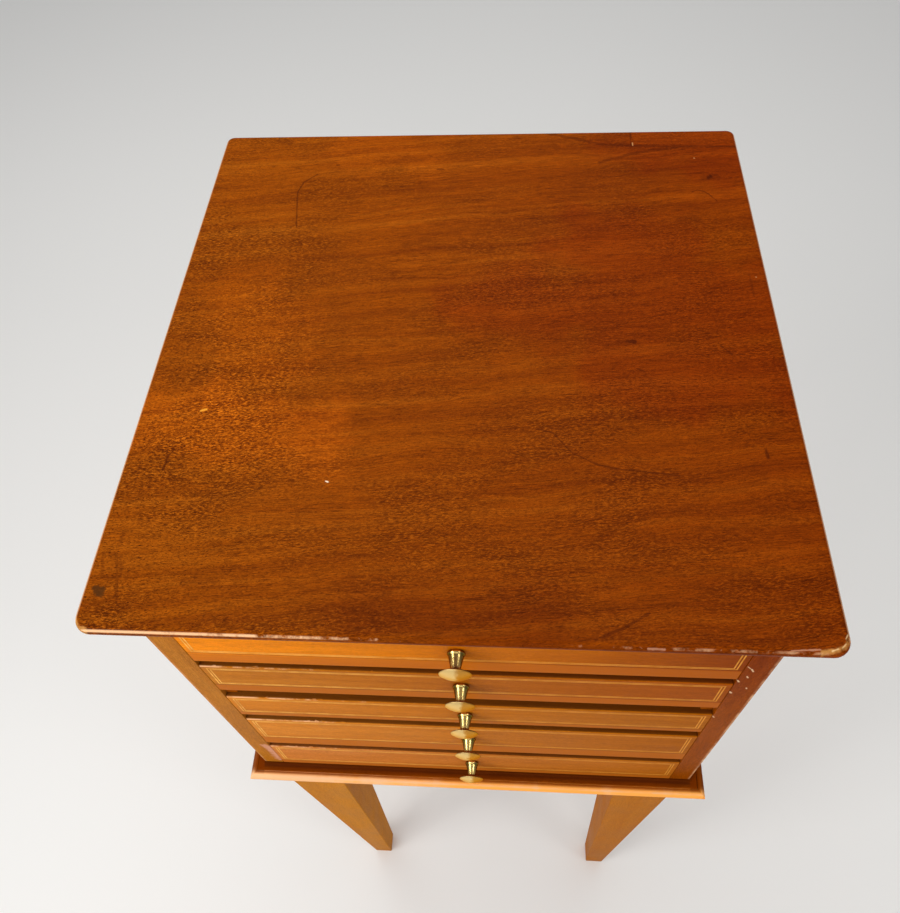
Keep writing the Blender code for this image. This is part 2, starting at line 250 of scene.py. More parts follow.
def modify(thing, kind, **settings):
    """Add a modifier and apply it."""
    only(thing)
    modifier = thing.modifiers.new(kind, kind)
    for key, value in settings.items():
        setattr(modifier, key, value)
    bpy.ops.object.modifier_apply(modifier=modifier.name)


def new_mesh(name, add_primitive, **settings):
    """Add a primitive with nothing else selected, name it and put its place into its mesh."""
    bpy.ops.object.select_all(action="DESELECT")
    add_primitive(**settings)
    thing = bpy.context.active_object
    thing.name = name
    thing.data.name = name
    bpy.ops.object.transform_apply(location=True, rotation=True, scale=True)
    return thing


def add_block(name, low, high):
    low, high = Vector(low), Vector(high)
    return new_mesh(
        name, bpy.ops.mesh.primitive_cube_add, size=1.0, location=(low + high) / 2,
        scale=high - low)


def add_rod(name, radius, front, back, x, z, sides=32):
    """Cylinder along Y."""
    return new_mesh(
        name, bpy.ops.mesh.primitive_cylinder_add, vertices=sides, radius=radius,
        depth=back - front, location=(x, (front + back) / 2, z), rotation=(math.pi / 2, 0, 0))


def grown(low, high, amount):
    by = Vector((amount, amount, amount))
    return Vector(low) - by, Vector(high) + by


def combine(thing, tools, operation):
    """Cut, join or keep in common with other meshes, which are used up."""
    for tool in tools:
        modify(thing, "BOOLEAN", operation=operation, solver="EXACT", object=tool)
        bpy.data.objects.remove(tool, do_unlink=True)


def merge(name, things):
    """Make one object of several."""
    only(things[0])
    for thing in things:
        thing.select_set(True)
    bpy.ops.object.join()
    joined = bpy.context.active_object
    joined.name = name
    return joined


def copy_of(thing, name, by=(0, 0, 0)):
    """Copy of a piece with its own mesh, moved by a distance."""
    twin = thing.copy()
    twin.data = thing.data.copy()
    twin.name = name
    twin.data.name = name
    twin.location = by
    bpy.context.collection.objects.link(twin)
    only(twin)
    bpy.ops.object.transform_apply(location=True, rotation=True, scale=True)
    return twin


def nicks(name, places, seed):
    """Rough little lumps that cut nicks: each place is a point, a size along X and one across."""
    chance = random.Random(seed)
    lumps = []
    for point, long, wide in places:
        lump = new_mesh(
            name, bpy.ops.mesh.primitive_ico_sphere_add, subdivisions=2, radius=1.0,
            location=point, scale=(long, wide, wide),
            rotation=[chance.uniform(-most, most) for most in (0.6, 0.3, 0.3)])
        for vertex in lump.data.vertices:
            away = vertex.co - Vector(point)
            vertex.co = Vector(point) + away * chance.uniform(0.75, 1.1)
        lumps.append(lump)
    return lumps


def finish_piece(thing, body, material, nodes=(), angle=32):
    """Shade a finished piece, give it its material and tie it to the frame."""
    only(thing)
    bpy.ops.object.shade_smooth_by_angle(angle=math.radians(angle))
    modify(thing, "WEIGHTED_NORMAL", keep_sharp=True)
    thing.data.materials.clear()
    thing.data.materials.append(material)
    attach(thing, body)
    if nodes:
        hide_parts(*nodes)


def repeat_piece(first, nodes, bodies, material, angle=32):
    """Copy a piece from the first node's place to the others' places, and finish them all."""
    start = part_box(nodes[0])[0]
    things = [first]
    things += [copy_of(first, node + "_piece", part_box(node)[0] - start) for node in nodes[1:]]
    for thing, node, body in zip(things, nodes, bodies):
        finish_piece(thing, body, material, [node], angle)


def make_board(node, arris, body, material, cutters=()):
    """Finished board in a node's place, with its edges eased and its rebates or grooves cut."""
    board = add_block(node + "_piece", *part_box(node))
    bevel_edges(board, arris, 2, lambda edge: True)
    combine(board, cutters, "DIFFERENCE")
    finish_piece(board, body, material, [node])


# Materials

# A Mix node's two colours and the settings that make it mix them
FIRST, SECOND = 6, 7
LAYER = {"out": 2, "data_type": "RGBA"}


def add_node(tree, kind, *inputs, out=0, stops=None, **settings):
    """Add a node with its settings, values and links, and give one of its outputs.

    Inputs come in the order of the node's sockets, or in a table by their names or numbers. Those
    of a Map Range node are a value, the range it reads and the range it gives, which is from 0 to
    1 where it is left out.
    """
    node = tree.nodes.new("ShaderNode" + kind)
    for key, value in settings.items():
        setattr(node, key, value)
    sockets = {}
    for number, value in enumerate(inputs):
        sockets.update(value if isinstance(value, dict) else {number: value})
    for socket, value in sockets.items():
        if isinstance(value, bpy.types.NodeSocket):
            tree.links.new(value, node.inputs[socket])
        else:
            node.inputs[socket].default_value = value
    if stops:
        for _ in stops[2:]:
            node.color_ramp.elements.new(0.5)
        for element, (position, value) in zip(node.color_ramp.elements, stops):
            element.position = position
            element.color = value
    return node.outputs[out] if len(node.outputs) else None


def new_material(name):
    """A material with no nodes yet, and the function that adds one to it."""
    material = bpy.data.materials.new(name)
    material.use_nodes = True
    material.node_tree.nodes.clear()
    return material, partial(add_node, material.node_tree)


def opaque(values):
    return (*values, 1.0)


def lay(add, under, *layers):
    """Lay tones over a colour one by one, each as strongly as the shares after it together."""
    for tone, share, *others in layers:
        for other in others:
            share = add("Math", share, other, operation="MULTIPLY")
        under = add("Mix", share, {FIRST: under, SECOND: opaque(tone)}, **LAYER)
    return under


def tinted(add, under, value, start, end, tints):
    """Multiply a colour by the first tint where a value is at its start, the second at its end."""
    share = add("MapRange", value, start, end)
    tint = lay(add, opaque(tints[0]), (tints[1], share))
    return add("VectorMath", under, tint, operation="MULTIPLY")


def by_distance(add, value, middle, near, far, at_near=1.0, at_far=0.0):
    """A number that changes while a value's distance from a middle goes from near to far."""
    off = add("Math", value, middle, operation="SUBTRACT")
    off = add("Math", off, operation="ABSOLUTE")
    return add("MapRange", off, near, far, at_near, at_far)


def patches(add, place, scale, start, end, low, high, *more, roughness=0.7):
    """Ragged patches, low where the noise is at its start, high at its end. more raises it."""
    noise = add(
        "TexNoise", {"Vector": place, "Scale": scale, "Detail": 4.0, "Roughness": roughness})
    for raised in more:
        noise = add("Math", noise, raised, operation="ADD")
    return add("MapRange", noise, start, end, low, high)


TURNS = {
    "X": (0.0, 0.0, 0.0),
    "Y": (0.0, 0.0, math.pi / 2),
    "Z": (0.0, -math.pi / 2, 0.0),
}


def wood(name, tones, run="X", slope=0.0, shift=0.0, figure=1.0, flecks=1.0, roughness=0.36,
         gloss=0.005, lively=None, dress=None):
    """Sawn and planed wood with an open grain, polished, or left plain where it is rougher.

    Its growth gives soft streaks and stripes along the run, its cut vessels give short flecks and
    pores, and old polish gives a low, uneven sheen. lively gives the flecks' strength from place
    to place, and dress lays one piece's wear and marks over the colour.
    """
    material, add = new_material(name)
    dark, main, light = (Vector(tone) for tone in tones)
    place = add("TexCoord", out="Object")
    turn = Euler(TURNS[run])
    turn.z += math.radians(slope)

    def pattern(long, wide, vector=place, out="Fac", **values):
        """Noise whose grain has a real length and width in millimetres."""
        mapped = add(
            "Mapping",
            {"Vector": vector, "Location": (shift, shift, shift), "Rotation": turn,
             "Scale": (long * MM, wide * MM, wide * MM)},
            vector_type="TEXTURE")
        return add("TexNoise", {"Vector": mapped, "Scale": 1.0, **values}, out=out)

    # The grain drifts by millimetres over a hand's breadth, and wriggles over every few millimetres
    drifts = [place]
    for long, wide, reach in ((70, 45, 9), (5, 3.5, 2.2)):
        drift = pattern(long, wide, out="Color", Detail=1.0)
        drift = add("VectorMath", drift, (0.5, 0.5, 0.5), operation="SUBTRACT")
        drift = add("VectorMath", drift, {"Scale": reach * MM}, operation="SCALE")
        drifts.append(add("VectorMath", drifts[-1], drift, operation="ADD"))
    slow, wriggling = drifts[1:]

    # Real vessels are 0.1 to 0.2 mm wide. Fibres, flecks and pores are drawn coarser, so they show
    streaks = pattern(300, 11, vector=slow, Detail=4.0, Roughness=0.65)
    cloud = pattern(85, 42, Detail=3.0, Roughness=0.6)
    bands = pattern(55, 4.5, vector=slow, Detail=4.0, Roughness=0.7)
    fibres = pattern(12, 0.45, vector=slow, Detail=3.0, Roughness=0.7)
    fleck = pattern(2.5, 0.68, vector=wriggling, Detail=2.0, Roughness=0.6)
    dash = pattern(9, 0.65, vector=slow, Detail=3.0, Roughness=0.65)
    group = pattern(48, 12, vector=slow, Detail=2.0)
    pore = pattern(1.7, 0.32, vector=wriggling, Detail=1.0)

    colour_now = add(
        "ValToRGB", streaks,
        stops=((0.12, opaque(dark)), (0.5, opaque(main)), (0.88, opaque(light))))
    for noise, depth in ((fibres, 0.4 * figure), (cloud, 0.11 * figure)):
        shade = add("MapRange", noise, 0.3, 0.7, 1 - depth, 1 + depth)
        colour_now = add("VectorMath", colour_now, {"Scale": shade}, operation="SCALE")
    banded, dashed, grouped, crowd, flecked, glint, pored = (
        add("MapRange", noise, start, end, low, high)
        for noise, start, end, low, high in (
            (bands, 0.53, 0.72, 0.0, 0.45 * figure),
            (dash, 0.54, 0.62, 0.0, 0.6 * figure),
            (group, 0.47, 0.6, 0.0, 1.0),
            (cloud, 0.38, 0.58, 1.0, 0.25),
            (fleck, 0.51, 0.58, 0.0, 0.65 * flecks),
            (fleck, 0.45, 0.34, 0.0, 0.7 * flecks),
            (pore, 0.55, 0.64, 0.0, 0.6 * flecks)))
    if lively:
        strength = lively(add, place)
        crowd, pored = (
            add("Math", share, strength, operation="MULTIPLY") for share in (crowd, pored))
    colour_now = lay(
        add, colour_now, (dark * 0.75, banded), (dark * 0.55, dashed, grouped),
        (light * 1.3, glint, crowd), (dark * 0.5, flecked, crowd), (dark * 0.4, pored))
    if dress:
        colour_now = dress(add, place, colour_now)

    rough = add("MapRange", cloud, 0.3, 0.7, roughness - 0.05, roughness + 0.06)
    sunk = add("Math", pored, -1.0, operation="MULTIPLY")
    bump = add("Bump", {"Height": sunk, "Distance": 0.05 * MM, "Strength": 0.35})
    swell = pattern(30, 18, Detail=1.0)
    bump = add("Bump", {"Height": swell, "Distance": 0.25 * MM, "Strength": 0.3, "Normal": bump})
    shader = add(
        "BsdfPrincipled",
        {"Base Color": colour_now, "Roughness": rough, "Normal": bump, "IOR": 1.5,
         "Specular IOR Level": gloss})
    add("OutputMaterial", {"Surface": shader})
    return material


def nearest(add, place, lines, upright=False):
    """Distance in metres to the nearest of several lines drawn in millimetres.

    The lines are (x, y) as seen from above, or (x, z) as seen from the front.
    """
    plane = (1.0, 0.0, 1.0) if upright else (1.0, 1.0, 0.0)
    flat = add("VectorMath", place, plane, operation="MULTIPLY")
    least = None
    for line in lines:
        points = [Vector((a, 0.0, b) if upright else (a, b, 0.0)) * MM for a, b in line]
        for start, end in zip(points, points[1:]):
            run = end - start
            away = add("VectorMath", flat, start, operation="SUBTRACT")
            share = add(
                "VectorMath", away, run / run.length_squared,
                out="Value", operation="DOT_PRODUCT")
            share = add("Clamp", share)
            foot = add("VectorMath", run, {"Scale": share}, operation="SCALE")
            distance = add("VectorMath", away, foot, out="Value", operation="DISTANCE")
            if least is None:
                least = distance
            else:
                least = add("Math", least, distance, operation="MINIMUM")
    return least


def draw_marks(add, place, under, marks, upright=False, raggedness=260.0, blend="MIX"):
    """Lay ragged marks over a colour: each is (lines, width in millimetres, strength, tone)."""
    ragged = add("TexNoise", {"Vector": place, "Scale": raggedness, "Detail": 2.0})
    for lines, width, strength, tone in marks:
        reach = width * MM
        jitter = add("MapRange", ragged, 0.3, 0.7, -0.35 * reach, 0.35 * reach)
        distance = nearest(add, place, lines, upright)
        distance = add("Math", distance, jitter, operation="ADD")
        mark = add(
            "MapRange", distance, reach * 0.25, reach, strength, 0.0,
            interpolation_type="SMOOTHSTEP")
        under = add(
            "Mix", mark, {FIRST: under, SECOND: opaque(tone)}, blend_type=blend, **LAYER)
    return under


# Broad patches that tint the top paler, warmer, redder and browner, in millimetres from its middle
PALE_PATCHES = (((-190, -68), (-84, -78)),)
WARM_PATCHES = (((-145, 20), (-120, -24)), ((-85, 182), (-50, 178)))
RED_PATCHES = (
    ((25, 24), (178, 24)), ((84, -24), (178, -26)), ((80, 78), (125, 76)), ((130, 180), (185, 178)),
)
BROWN_PATCHES = (((-40, -192), (40, -192)),)

# Each with its width in millimetres, its strength and its tint
PATCHES = (
    (PALE_PATCHES, 38, 1.0, (1.38, 1.34, 1.3)),
    (WARM_PATCHES, 44, 1.0, (1.22, 1.2, 1.15)),
    (RED_PATCHES, 50, 1.0, (0.93, 0.76, 0.8)),
    (BROWN_PATCHES, 40, 1.0, (0.82, 0.74, 0.7)),
)

# Marks on the top, in millimetres from its middle
SCRATCHES = (
    ((45, -72), (53, -74), (64, -88), (78, -95), (86, -97), (105, -99), (121, -101)),
    ((-122, 95), (-127, 131), (-124, 142), (-115, 151)),
    ((154, 127.8), (157.7, 129.8), (161.7, 128.7), (165.5, 125), (169.9, 118.3)),
    ((116.2, 197), (115.8, 179)),
)
SCUFFS = (
    ((71, -193), (85, -187), (98, -179)), ((104, -28), (108, -30)),
    ((155.2, -10.3), (160.8, -16.4)), ((-151, 160), (-149, 160)), ((-102, 161), (-100, 161)),
    ((-26, 155), (-22, 155)),
)
STAINS = (
    ((52.9, 195.4), (75, 188), (93, 181.5), (117, 179), (141, 178), (192, 177)),
    ((92, 161), (122, 172), (151, 177)),
)
GHOSTS = (
    ((-181.5, -97.4), (-181.6, -113.3)), ((-174.9, -103.9), (-172.5, -114.6)),
    ((-179.1, -142.3), (-180, -149)),
    ((-187.6, -154.4), (-183.6, -167.6), (-173.7, -167.3), (-177.3, -155.1), (-187.6, -154.4)),
    ((-179.5, -155.2), (-170.7, -185.4)), ((181, 49), (181, 30)),
)
SMUDGES = (
    ((142, 101), (152, 102)), ((165, 143), (172, 144)), ((-150, 191), (-142, 188)),
    ((-44, 77), (-29, 81)), ((-138.6, -169.9), (-132.1, -168), (-125.1, -168.4)),
    ((-168, -182.6), (-166, -182.6)),
)
TICKS = (((-167, -93.5), (-167.6, -102)), ((169.6, -83.6), (170, -88.6)))
KNOTS = (((168, 143.2), (168.8, 143.6)), ((99.5, -6.7), (104.3, -7.5)))
PLUG = (
    ((-186, -173.6), (-182, -174.4)), ((-184.6, -175.4), (-181.6, -175.8)),
    ((-183, -177.2), (-181.4, -177.2)),
)
SPECKS = (((-73.1, -108.1), (-71.8, -108.5)),)
DOTS = (
    ((159.6, 164.3), (159.7, 164.2)), ((184.8, 46.5), (185, 46.3)), ((117, 179.4), (117, 182.5)),
)
DABS = (((-154.5, -61.4), (-151.5, -60.6)),)
# Scuffs of the front edge, with painted highlights on them
EDGE_SCUFFS_AND_HIGHLIGHTS = (((96, -196.3), (104, -196.3)), ((163, -195.4), (176.6, -194.6)))
# Rubbed front corners, with painted highlights along them
CORNER_RUBS_AND_HIGHLIGHTS = (
    ((-191.8, -191), (-189.6, -194.8), (-184.5, -196.6)),
    ((177.5, -195.6), (184.4, -194.6), (188.4, -192.8), (190.6, -189.6)),
)
# Painted highlights at the right front corner
CORNER_HIGHLIGHTS = (
    ((182, -195), (185, -194)), ((187, -193.4), (189, -191.4)), ((189.4, -189), (190.8, -187)),
)

# Each with its width in millimetres, its strength and its tone
STAIN = srgb("#401202")
MARKS = (
    (GHOSTS, 1.2, 0.3, STAIN),
    (TICKS, 1.5, 0.7, STAIN),
    (SMUDGES, 4.5, 0.25, STAIN),
    (STAINS, 2.2, 0.45, STAIN),
    (SCRATCHES, 0.8, 0.55, STAIN),
    (SCUFFS, 1.1, 0.55, STAIN),
    (KNOTS, 2.3, 0.8, STAIN),
    (PLUG, 2.2, 0.9, srgb("#4A280C")),
    (DABS, 1.5, 0.8, srgb("#F0A030")),
    (DOTS, 0.7, 0.5, srgb("#E8A868")),
    (SPECKS, 0.7, 0.85, srgb("#FFE8C8")),
    (EDGE_SCUFFS_AND_HIGHLIGHTS, 0.6, 0.45, srgb("#D09878")),
    (CORNER_RUBS_AND_HIGHLIGHTS, 1.8, 0.5, srgb("#D09850")),
    (CORNER_HIGHLIGHTS, 0.6, 0.5, srgb("#F4D098")),
)

# Rubbed places on the side boards' front edges, seen from the front
RUBS_LEFT = (((-164, 664), (-161, 650), (-161, 630), (-160, 618)),)
RUBS_RIGHT = (
    ((161, 888), (163, 885)), ((163.8, 884), (165.5, 880)), ((160.7, 863.5), (161.6, 861.5)),
    ((164, 872), (165, 869)), ((160.5, 842.5), (161.5, 840)), ((168, 851), (168.6, 849)),
    ((160.5, 790), (161.4, 788)),
)


def top_figure(add, place):
    """The top's figure is strongest along its left side and quietest at the back."""
    across, out = (add("SeparateXYZ", place, out=axis) for axis in "XY")
    side = add("MapRange", across, -170 * MM, -70 * MM, 1.4, 0.75)
    back = add("MapRange", out, 0.0, 140 * MM, 1.0, 0.6)
    return add("Math", side, back, operation="MULTIPLY")


def dress_top(add, place, under, colours):
    """Scratches, stains and specks, painted shade to right and front, worn and highlighted edges.
    """
    across, out, up = (add("SeparateXYZ", place, out=axis) for axis in "XYZ")
    # Painted shade: darker and redder towards the right end, and darker towards the front
    under = tinted(add, under, across, -145 * MM, TOP_HIGH.x, (EVEN_TINT, RIGHT_SHADE_TINT))
    deeper = add("MapRange", out, TOP_HIGH.y, TOP_LOW.y, 0.92, 0.76)
    under = add("VectorMath", under, {"Scale": deeper}, operation="SCALE")
    under = draw_marks(add, place, under, PATCHES, raggedness=25.0, blend="MULTIPLY")
    under = draw_marks(add, place, under, MARKS)

    # Worn through and painted with a highlight along the upper arris: most at the left end of the
    # front, least at the sides
    above = add("MapRange", up, TOP_HIGH.z - 2.1 * MM, TOP_HIGH.z - 1.4 * MM)
    front, *sides = (
        add("MapRange", value, edge + start * MM, edge + end * MM)
        for value, edge, start, end in (
            (out, TOP_LOW.y, 1.6, 1.0), (across, TOP_LOW.x, 1.9, 1.2),
            (across, TOP_HIGH.x, -1.6, -1.0)))
    left = add("MapRange", across, TOP_LOW.x + 10 * MM, 0.0, 0.6, 0.0)
    right = add("MapRange", across, 20 * MM, 110 * MM, 0.0, 0.17)
    browner = add("MapRange", across, -60 * MM, 80 * MM, 0.9, 0.45)
    pale_share = patches(add, place, 130.0, 0.64, 0.88, 0.0, 1.0, left, right)
    rim = add("Math", sides[0], sides[1], operation="MAXIMUM")
    for mask in (front, above, browner):
        pale_share = add("Math", pale_share, mask, operation="MULTIPLY")
    for mask in (above, 0.5):
        rim = add("Math", rim, mask, operation="MULTIPLY")
    pale_share = add("Math", pale_share, rim, operation="MAXIMUM")
    return lay(add, under, (colours.worn, pale_share))


def dress_stile(add, place, under, colours, rubs, pale, kept, sheltered):
    """Outer arris and a few places of a side board's front edge worn pale.

    kept is the tint of the board away from its front edge, whose paler tones on the left board
    are painted light, and sheltered is painted shade on that edge under the top's overhang.
    """
    across, out, height = (add("SeparateXYZ", place, out=axis) for axis in "XYZ")
    # The sheltered tint paints shade on the front edge under the top's overhang, and the kept tint
    # takes the board behind its front edge back from the left board's painted-light tones
    behind = add("MapRange", out, FRONT_Y + 1 * MM, FRONT_Y + 25 * MM)
    overhang_shade = add("MapRange", height, CASE_HIGH.z - 170 * MM, CASE_HIGH.z - 40 * MM)
    tint = lay(add, opaque(EVEN_TINT), (sheltered, overhang_shade), (kept, behind))
    under = add("VectorMath", under, tint, operation="MULTIPLY")
    outer = by_distance(add, across, 0.0, CASE_HIGH.x - 2.2 * MM, CASE_HIGH.x - 1.0 * MM, 0.0, 1.0)
    front = add("MapRange", out, FRONT_Y + 1.0 * MM, FRONT_Y + 0.5 * MM)
    pale_share = patches(add, place, 60.0, 0.36, 0.62, 0.0, pale)
    under = lay(add, under, (colours.worn, pale_share, outer, front))
    return draw_marks(add, place, under, rubs, upright=True)


def dress_front(add, place, under, colours, line_bottom, top, tints):
    """Painted light and shade, redder strip, dirty, shaded upper edge, worn, highlighted arris."""
    across, height = (add("SeparateXYZ", place, out=axis) for axis in "XZ")
    seam = line_bottom - 1.2 * MM
    # Painted light at the left end of the front and painted shade at its right end
    under = tinted(add, under, across, CASE_LOW.x, CASE_HIGH.x, tints)
    strip = add("MapRange", height, seam - 2.4 * MM, seam, 0.7, 0.0)
    groove = by_distance(add, height, seam, 0.2 * MM, 1.1 * MM, 0.5)
    # Dirt and painted shade darken the front's upper edge, in the gap under what lies above it
    dirt_and_shade = add("MapRange", height, top - 0.9 * MM, top - 0.3 * MM, 0.0, 0.8)
    # The upper arris is worn through and painted with a highlight, most towards the left
    arris = by_distance(add, height, top - 1.1 * MM, 0.3 * MM, 0.8 * MM)
    leftward = add("MapRange", across, -160 * MM, -30 * MM, 0.14, -0.2)
    pale_share = patches(add, place, 90.0, 0.48, 0.66, 0.0, 0.7, leftward)
    return lay(
        add, under, (colours.front_strip, strip), (colours.top_dark, groove),
        (srgb("#3A1606"), dirt_and_shade), (colours.worn, pale_share, arris))


def dress_mould(add, place, under, colours):
    """Painted shade and grime in the hollow; a painted-lit nose, worn and highlighted to the left.
    """
    across, out, height = (add("SeparateXYZ", place, out=axis) for axis in "XYZ")
    nose_top = BASE_LOW.z + (BASE_HIGH.z - BASE_LOW.z) * NOSE_HEIGHT_SHARE
    nose, hollow, front, return_shade, leftward = (
        add("MapRange", value, start, end, low, high)
        for value, start, end, low, high in (
            (height, nose_top - 0.6 * MM, nose_top, 1.0, 0.0),
            (height, nose_top + 0.9 * MM, nose_top + 1.7 * MM, 0.0, 0.85),
            (out, BASE_LOW.y + 4 * MM, BASE_LOW.y + 9 * MM, 1.0, 0.12),
            (out, BASE_LOW.y + 3 * MM, BASE_LOW.y + 7 * MM, 0.0, 0.75),
            (across, BASE_LOW.x, 0.0, 0.6, -0.05)))
    # The moulding's ends past the case's sides are painted in shade
    side_shade = by_distance(add, across, 0.0, CASE_HIGH.x, CASE_HIGH.x + 1 * MM, 0.0, 1.0)
    # A thin painted highlight along the top of the nose
    crest_highlight = by_distance(add, height, nose_top - 1.3 * MM, 0.2 * MM, 0.8 * MM)
    pale_share = patches(add, place, 60.0, 0.5, 0.85, 0.0, 0.85, leftward, roughness=0.6)
    streaky = patches(add, place, 60.0, 0.35, 0.6, 0.2, 0.8, leftward, roughness=0.6)
    # The nose painted lit, dirt and painted shade in the hollow, wear and painted highlights on the
    # nose, and painted shade on the ends past the case
    return lay(
        add, under, (colours.nose, nose, front), (srgb("#441804"), hollow),
        (colours.worn, pale_share, nose, front), (colours.worn, crest_highlight, streaky, front),
        (colours.case_dark, return_shade, side_shade))


def shade_right_legs(add, place, under):
    """The legs at the right are painted darker, as shade."""
    across = add("SeparateXYZ", place, out="X")
    return tinted(add, under, across, -20 * MM, 20 * MM, (EVEN_TINT, RIGHT_LEG_SHADE_TINT))


# Knob outline: (distance in front of the drawer front, radius), both in millimetres
KNOB_OUTLINE = (
    (0.0, 4.6), (0.5, 5.1), (1.1, 5.3), (1.7, 5.1), (2.2, 4.7), (2.7, 4.45), (5.0, 3.9), (7.2, 3.4),
    (9.2, 2.95), (10.1, 2.9), (10.8, 4.3), (11.3, 6.4), (11.8, 8.0), (12.2, 8.8), (12.6, 9.3),
    (12.85, 9.2), (13.3, 8.5), (13.9, 7.2), (14.5, 5.6), (15.0, 3.7), (15.35, 1.7), (15.45, 0.0),
)
# Darker rings of a knob: (distance in front of the drawer front in millimetres, strength)
KNOB_RINGS = ((2.7, 0.5), (10.2, 0.5), (12.6, 0.75))


def brass_material(colours):
    """Brass turned on a lathe, its polish dulled by years of hands.

    Metal reflects the room in its own yellow: sharp streaks on the necks, a soft warm sheen on the
    satin faces, and brown tarnish in the turned hollows where no finger reaches. Tarnish down the
    necks' sides is painted shade, and each face is painted bright as lit at its left and browner as
    shaded at its right.
    """
    material, add = new_material("turned_brass")
    place = add("TexCoord", out="Object")
    across, depth = (add("SeparateXYZ", place, out=axis) for axis in "XY")
    cloud = add("TexNoise", {"Vector": place, "Scale": 220.0, "Detail": 3.0, "Roughness": 0.6})
    mottle = add("MapRange", cloud, 0.3, 0.7, -1.2 * MM, 1.2 * MM)
    ragged = add("Math", across, mottle, operation="ADD")
    # Painted light: the face's left half is painted bright as lit, its right half browner as shaded
    face = add("MapRange", depth, FRONT_Y - 10.8 * MM, FRONT_Y - 11.6 * MM)
    neck = add("Math", 1.0, face, operation="SUBTRACT")
    shaded_side = add("MapRange", ragged, -0.6 * MM, 1.8 * MM)
    face_tone = lay(add, opaque(colours.brass_lit), (colours.brass_deep, shaded_side))
    tone = add("Mix", face, {FIRST: opaque(colours.brass), SECOND: face_tone}, **LAYER)
    dulled = add("MapRange", cloud, 0.45, 0.8, 0.0, 0.4)
    # Tarnish down the neck's sides is painted shade
    side_shade = by_distance(add, across, 0.0, 2.1 * MM, 2.9 * MM, 0.0, 0.75)
    tone = lay(
        add, tone, (colours.tarnish, dulled, neck), (colours.tarnish, side_shade, neck),
        *((colours.tarnish,
           by_distance(add, depth, FRONT_Y - outward * MM, 0.2 * MM, 0.8 * MM, strength))
          for outward, strength in KNOB_RINGS))
    rough = add("MapRange", cloud, 0.3, 0.7, 0.17, 0.28)
    satin = add("Math", face, 0.17, operation="MULTIPLY")
    rough = add("Math", rough, satin, operation="ADD")
    # Lathe lines are finer than a hair. Here they are a quarter of a millimetre apart, so they show
    turning = add(
        "Mapping", {"Vector": place, "Scale": (4 * MM, 0.25 * MM, 4 * MM)}, vector_type="TEXTURE")
    turning = add("TexNoise", {"Vector": turning, "Scale": 1.0, "Detail": 1.0})
    bump = add("Bump", {"Height": turning, "Distance": 0.03 * MM, "Strength": 0.7})
    shader = add(
        "BsdfPrincipled",
        {"Base Color": tone, "Metallic": 1.0, "Roughness": rough, "Normal": bump,
         "Specular Tint": opaque(colours.brass_deep)})
    add("OutputMaterial", {"Surface": shader})
    return material


def line_material(colours):
    """Boxwood, cut in thin lines, let in and polished with the front.

    It is too close-grained for streaks to show, so it looks even and pale, dulled here and there
    by old polish, and painted a darker orange yellow towards the right as shade.
    """
    material, add = new_material("boxwood_line")
    place = add("TexCoord", out="Object")
    across = add("SeparateXYZ", place, out="X")
    cloud = add("TexNoise", {"Vector": place, "Scale": 120.0, "Detail": 3.0})
    # Painted shade: a darker orange yellow towards the right
    right_shade = add("MapRange", across, CASE_LOW.x, 60 * MM, 0.0, 0.75)
    dulled = add("MapRange", cloud, 0.42, 0.68, 0.0, 0.6)
    tone = lay(
        add, opaque(colours.line), (srgb("#D08024"), right_shade), (srgb("#B46C1A"), dulled))
    shader = add(
        "BsdfPrincipled", {"Base Color": tone, "Roughness": 0.35, "Specular IOR Level": 0.005})
    add("OutputMaterial", {"Surface": shader})
    return material


# Pieces


def make_top(context):
    """Top board with rounded, chipped edges and a strip let into a back corner."""
    sizes, colours = context.scene.nightstand_sizes, context.scene.nightstand_colours
    top = add_block("top_board_piece", TOP_LOW, TOP_HIGH)

    def upright(y):
        return lambda edge: (
            not near(edge.verts[0].co.z, edge.verts[1].co.z) and near(edge.verts[0].co.y, y))

    bevel_edges(top, sizes.front_corner, 8, upright(TOP_LOW.y))
    bevel_edges(top, sizes.back_corner, 8, upright(TOP_HIGH.y))
    bevel_edges(top, sizes.edge_round, 6, along(2, TOP_LOW.z, TOP_HIGH.z))

    chips = [
        ((x * MM, TOP_LOW.y + y * MM, TOP_HIGH.z - z * MM), long * MM, wide * MM)
        for x, y, z, long, wide in TOP_CHIPS]
    combine(top, nicks("chip", chips, 5), "DIFFERENCE")

    strip_low = Vector((REPAIR_LEFT, REPAIR_FRONT, TOP_HIGH.z - REPAIR_DEPTH))
    strip_high = TOP_HIGH + Vector((PAST, PAST, PAST))
    strip = copy_of(top, "repair_strip")
    combine(strip, [add_block("keep", strip_low, strip_high)], "INTERSECT")
    gap = Vector((SEAM, SEAM, SEAM))
    combine(top, [add_block("pocket", strip_low - gap, strip_high)], "DIFFERENCE")

    # Mahogany, flat sawn and French polished: deep red brown with lively figure, and a thin polish
    # that old age has left with a soft sheen, scratched, stained, and worn through at the edges,
    # with painted shade towards the right and the front and painted highlights along the edges
    tones = tones_of(colours, "top")
    top_wear_and_light = partial(dress_top, colours=colours)
    polish = wood(
        "french_polished_mahogany", tones, slope=6.0, gloss=0.015, lively=top_figure,
        dress=top_wear_and_light)
    # Mahogany let in later and polished over: the same sheen on a plainer, more even colour
    let_in = wood(
        "newer_mahogany", (tones[1], *tones[1:]), slope=1.0, shift=0.31, gloss=0.015,
        dress=top_wear_and_light)
    finish_piece(top, "carcass", polish, ["top_board"])
    finish_piece(strip, "carcass", let_in)


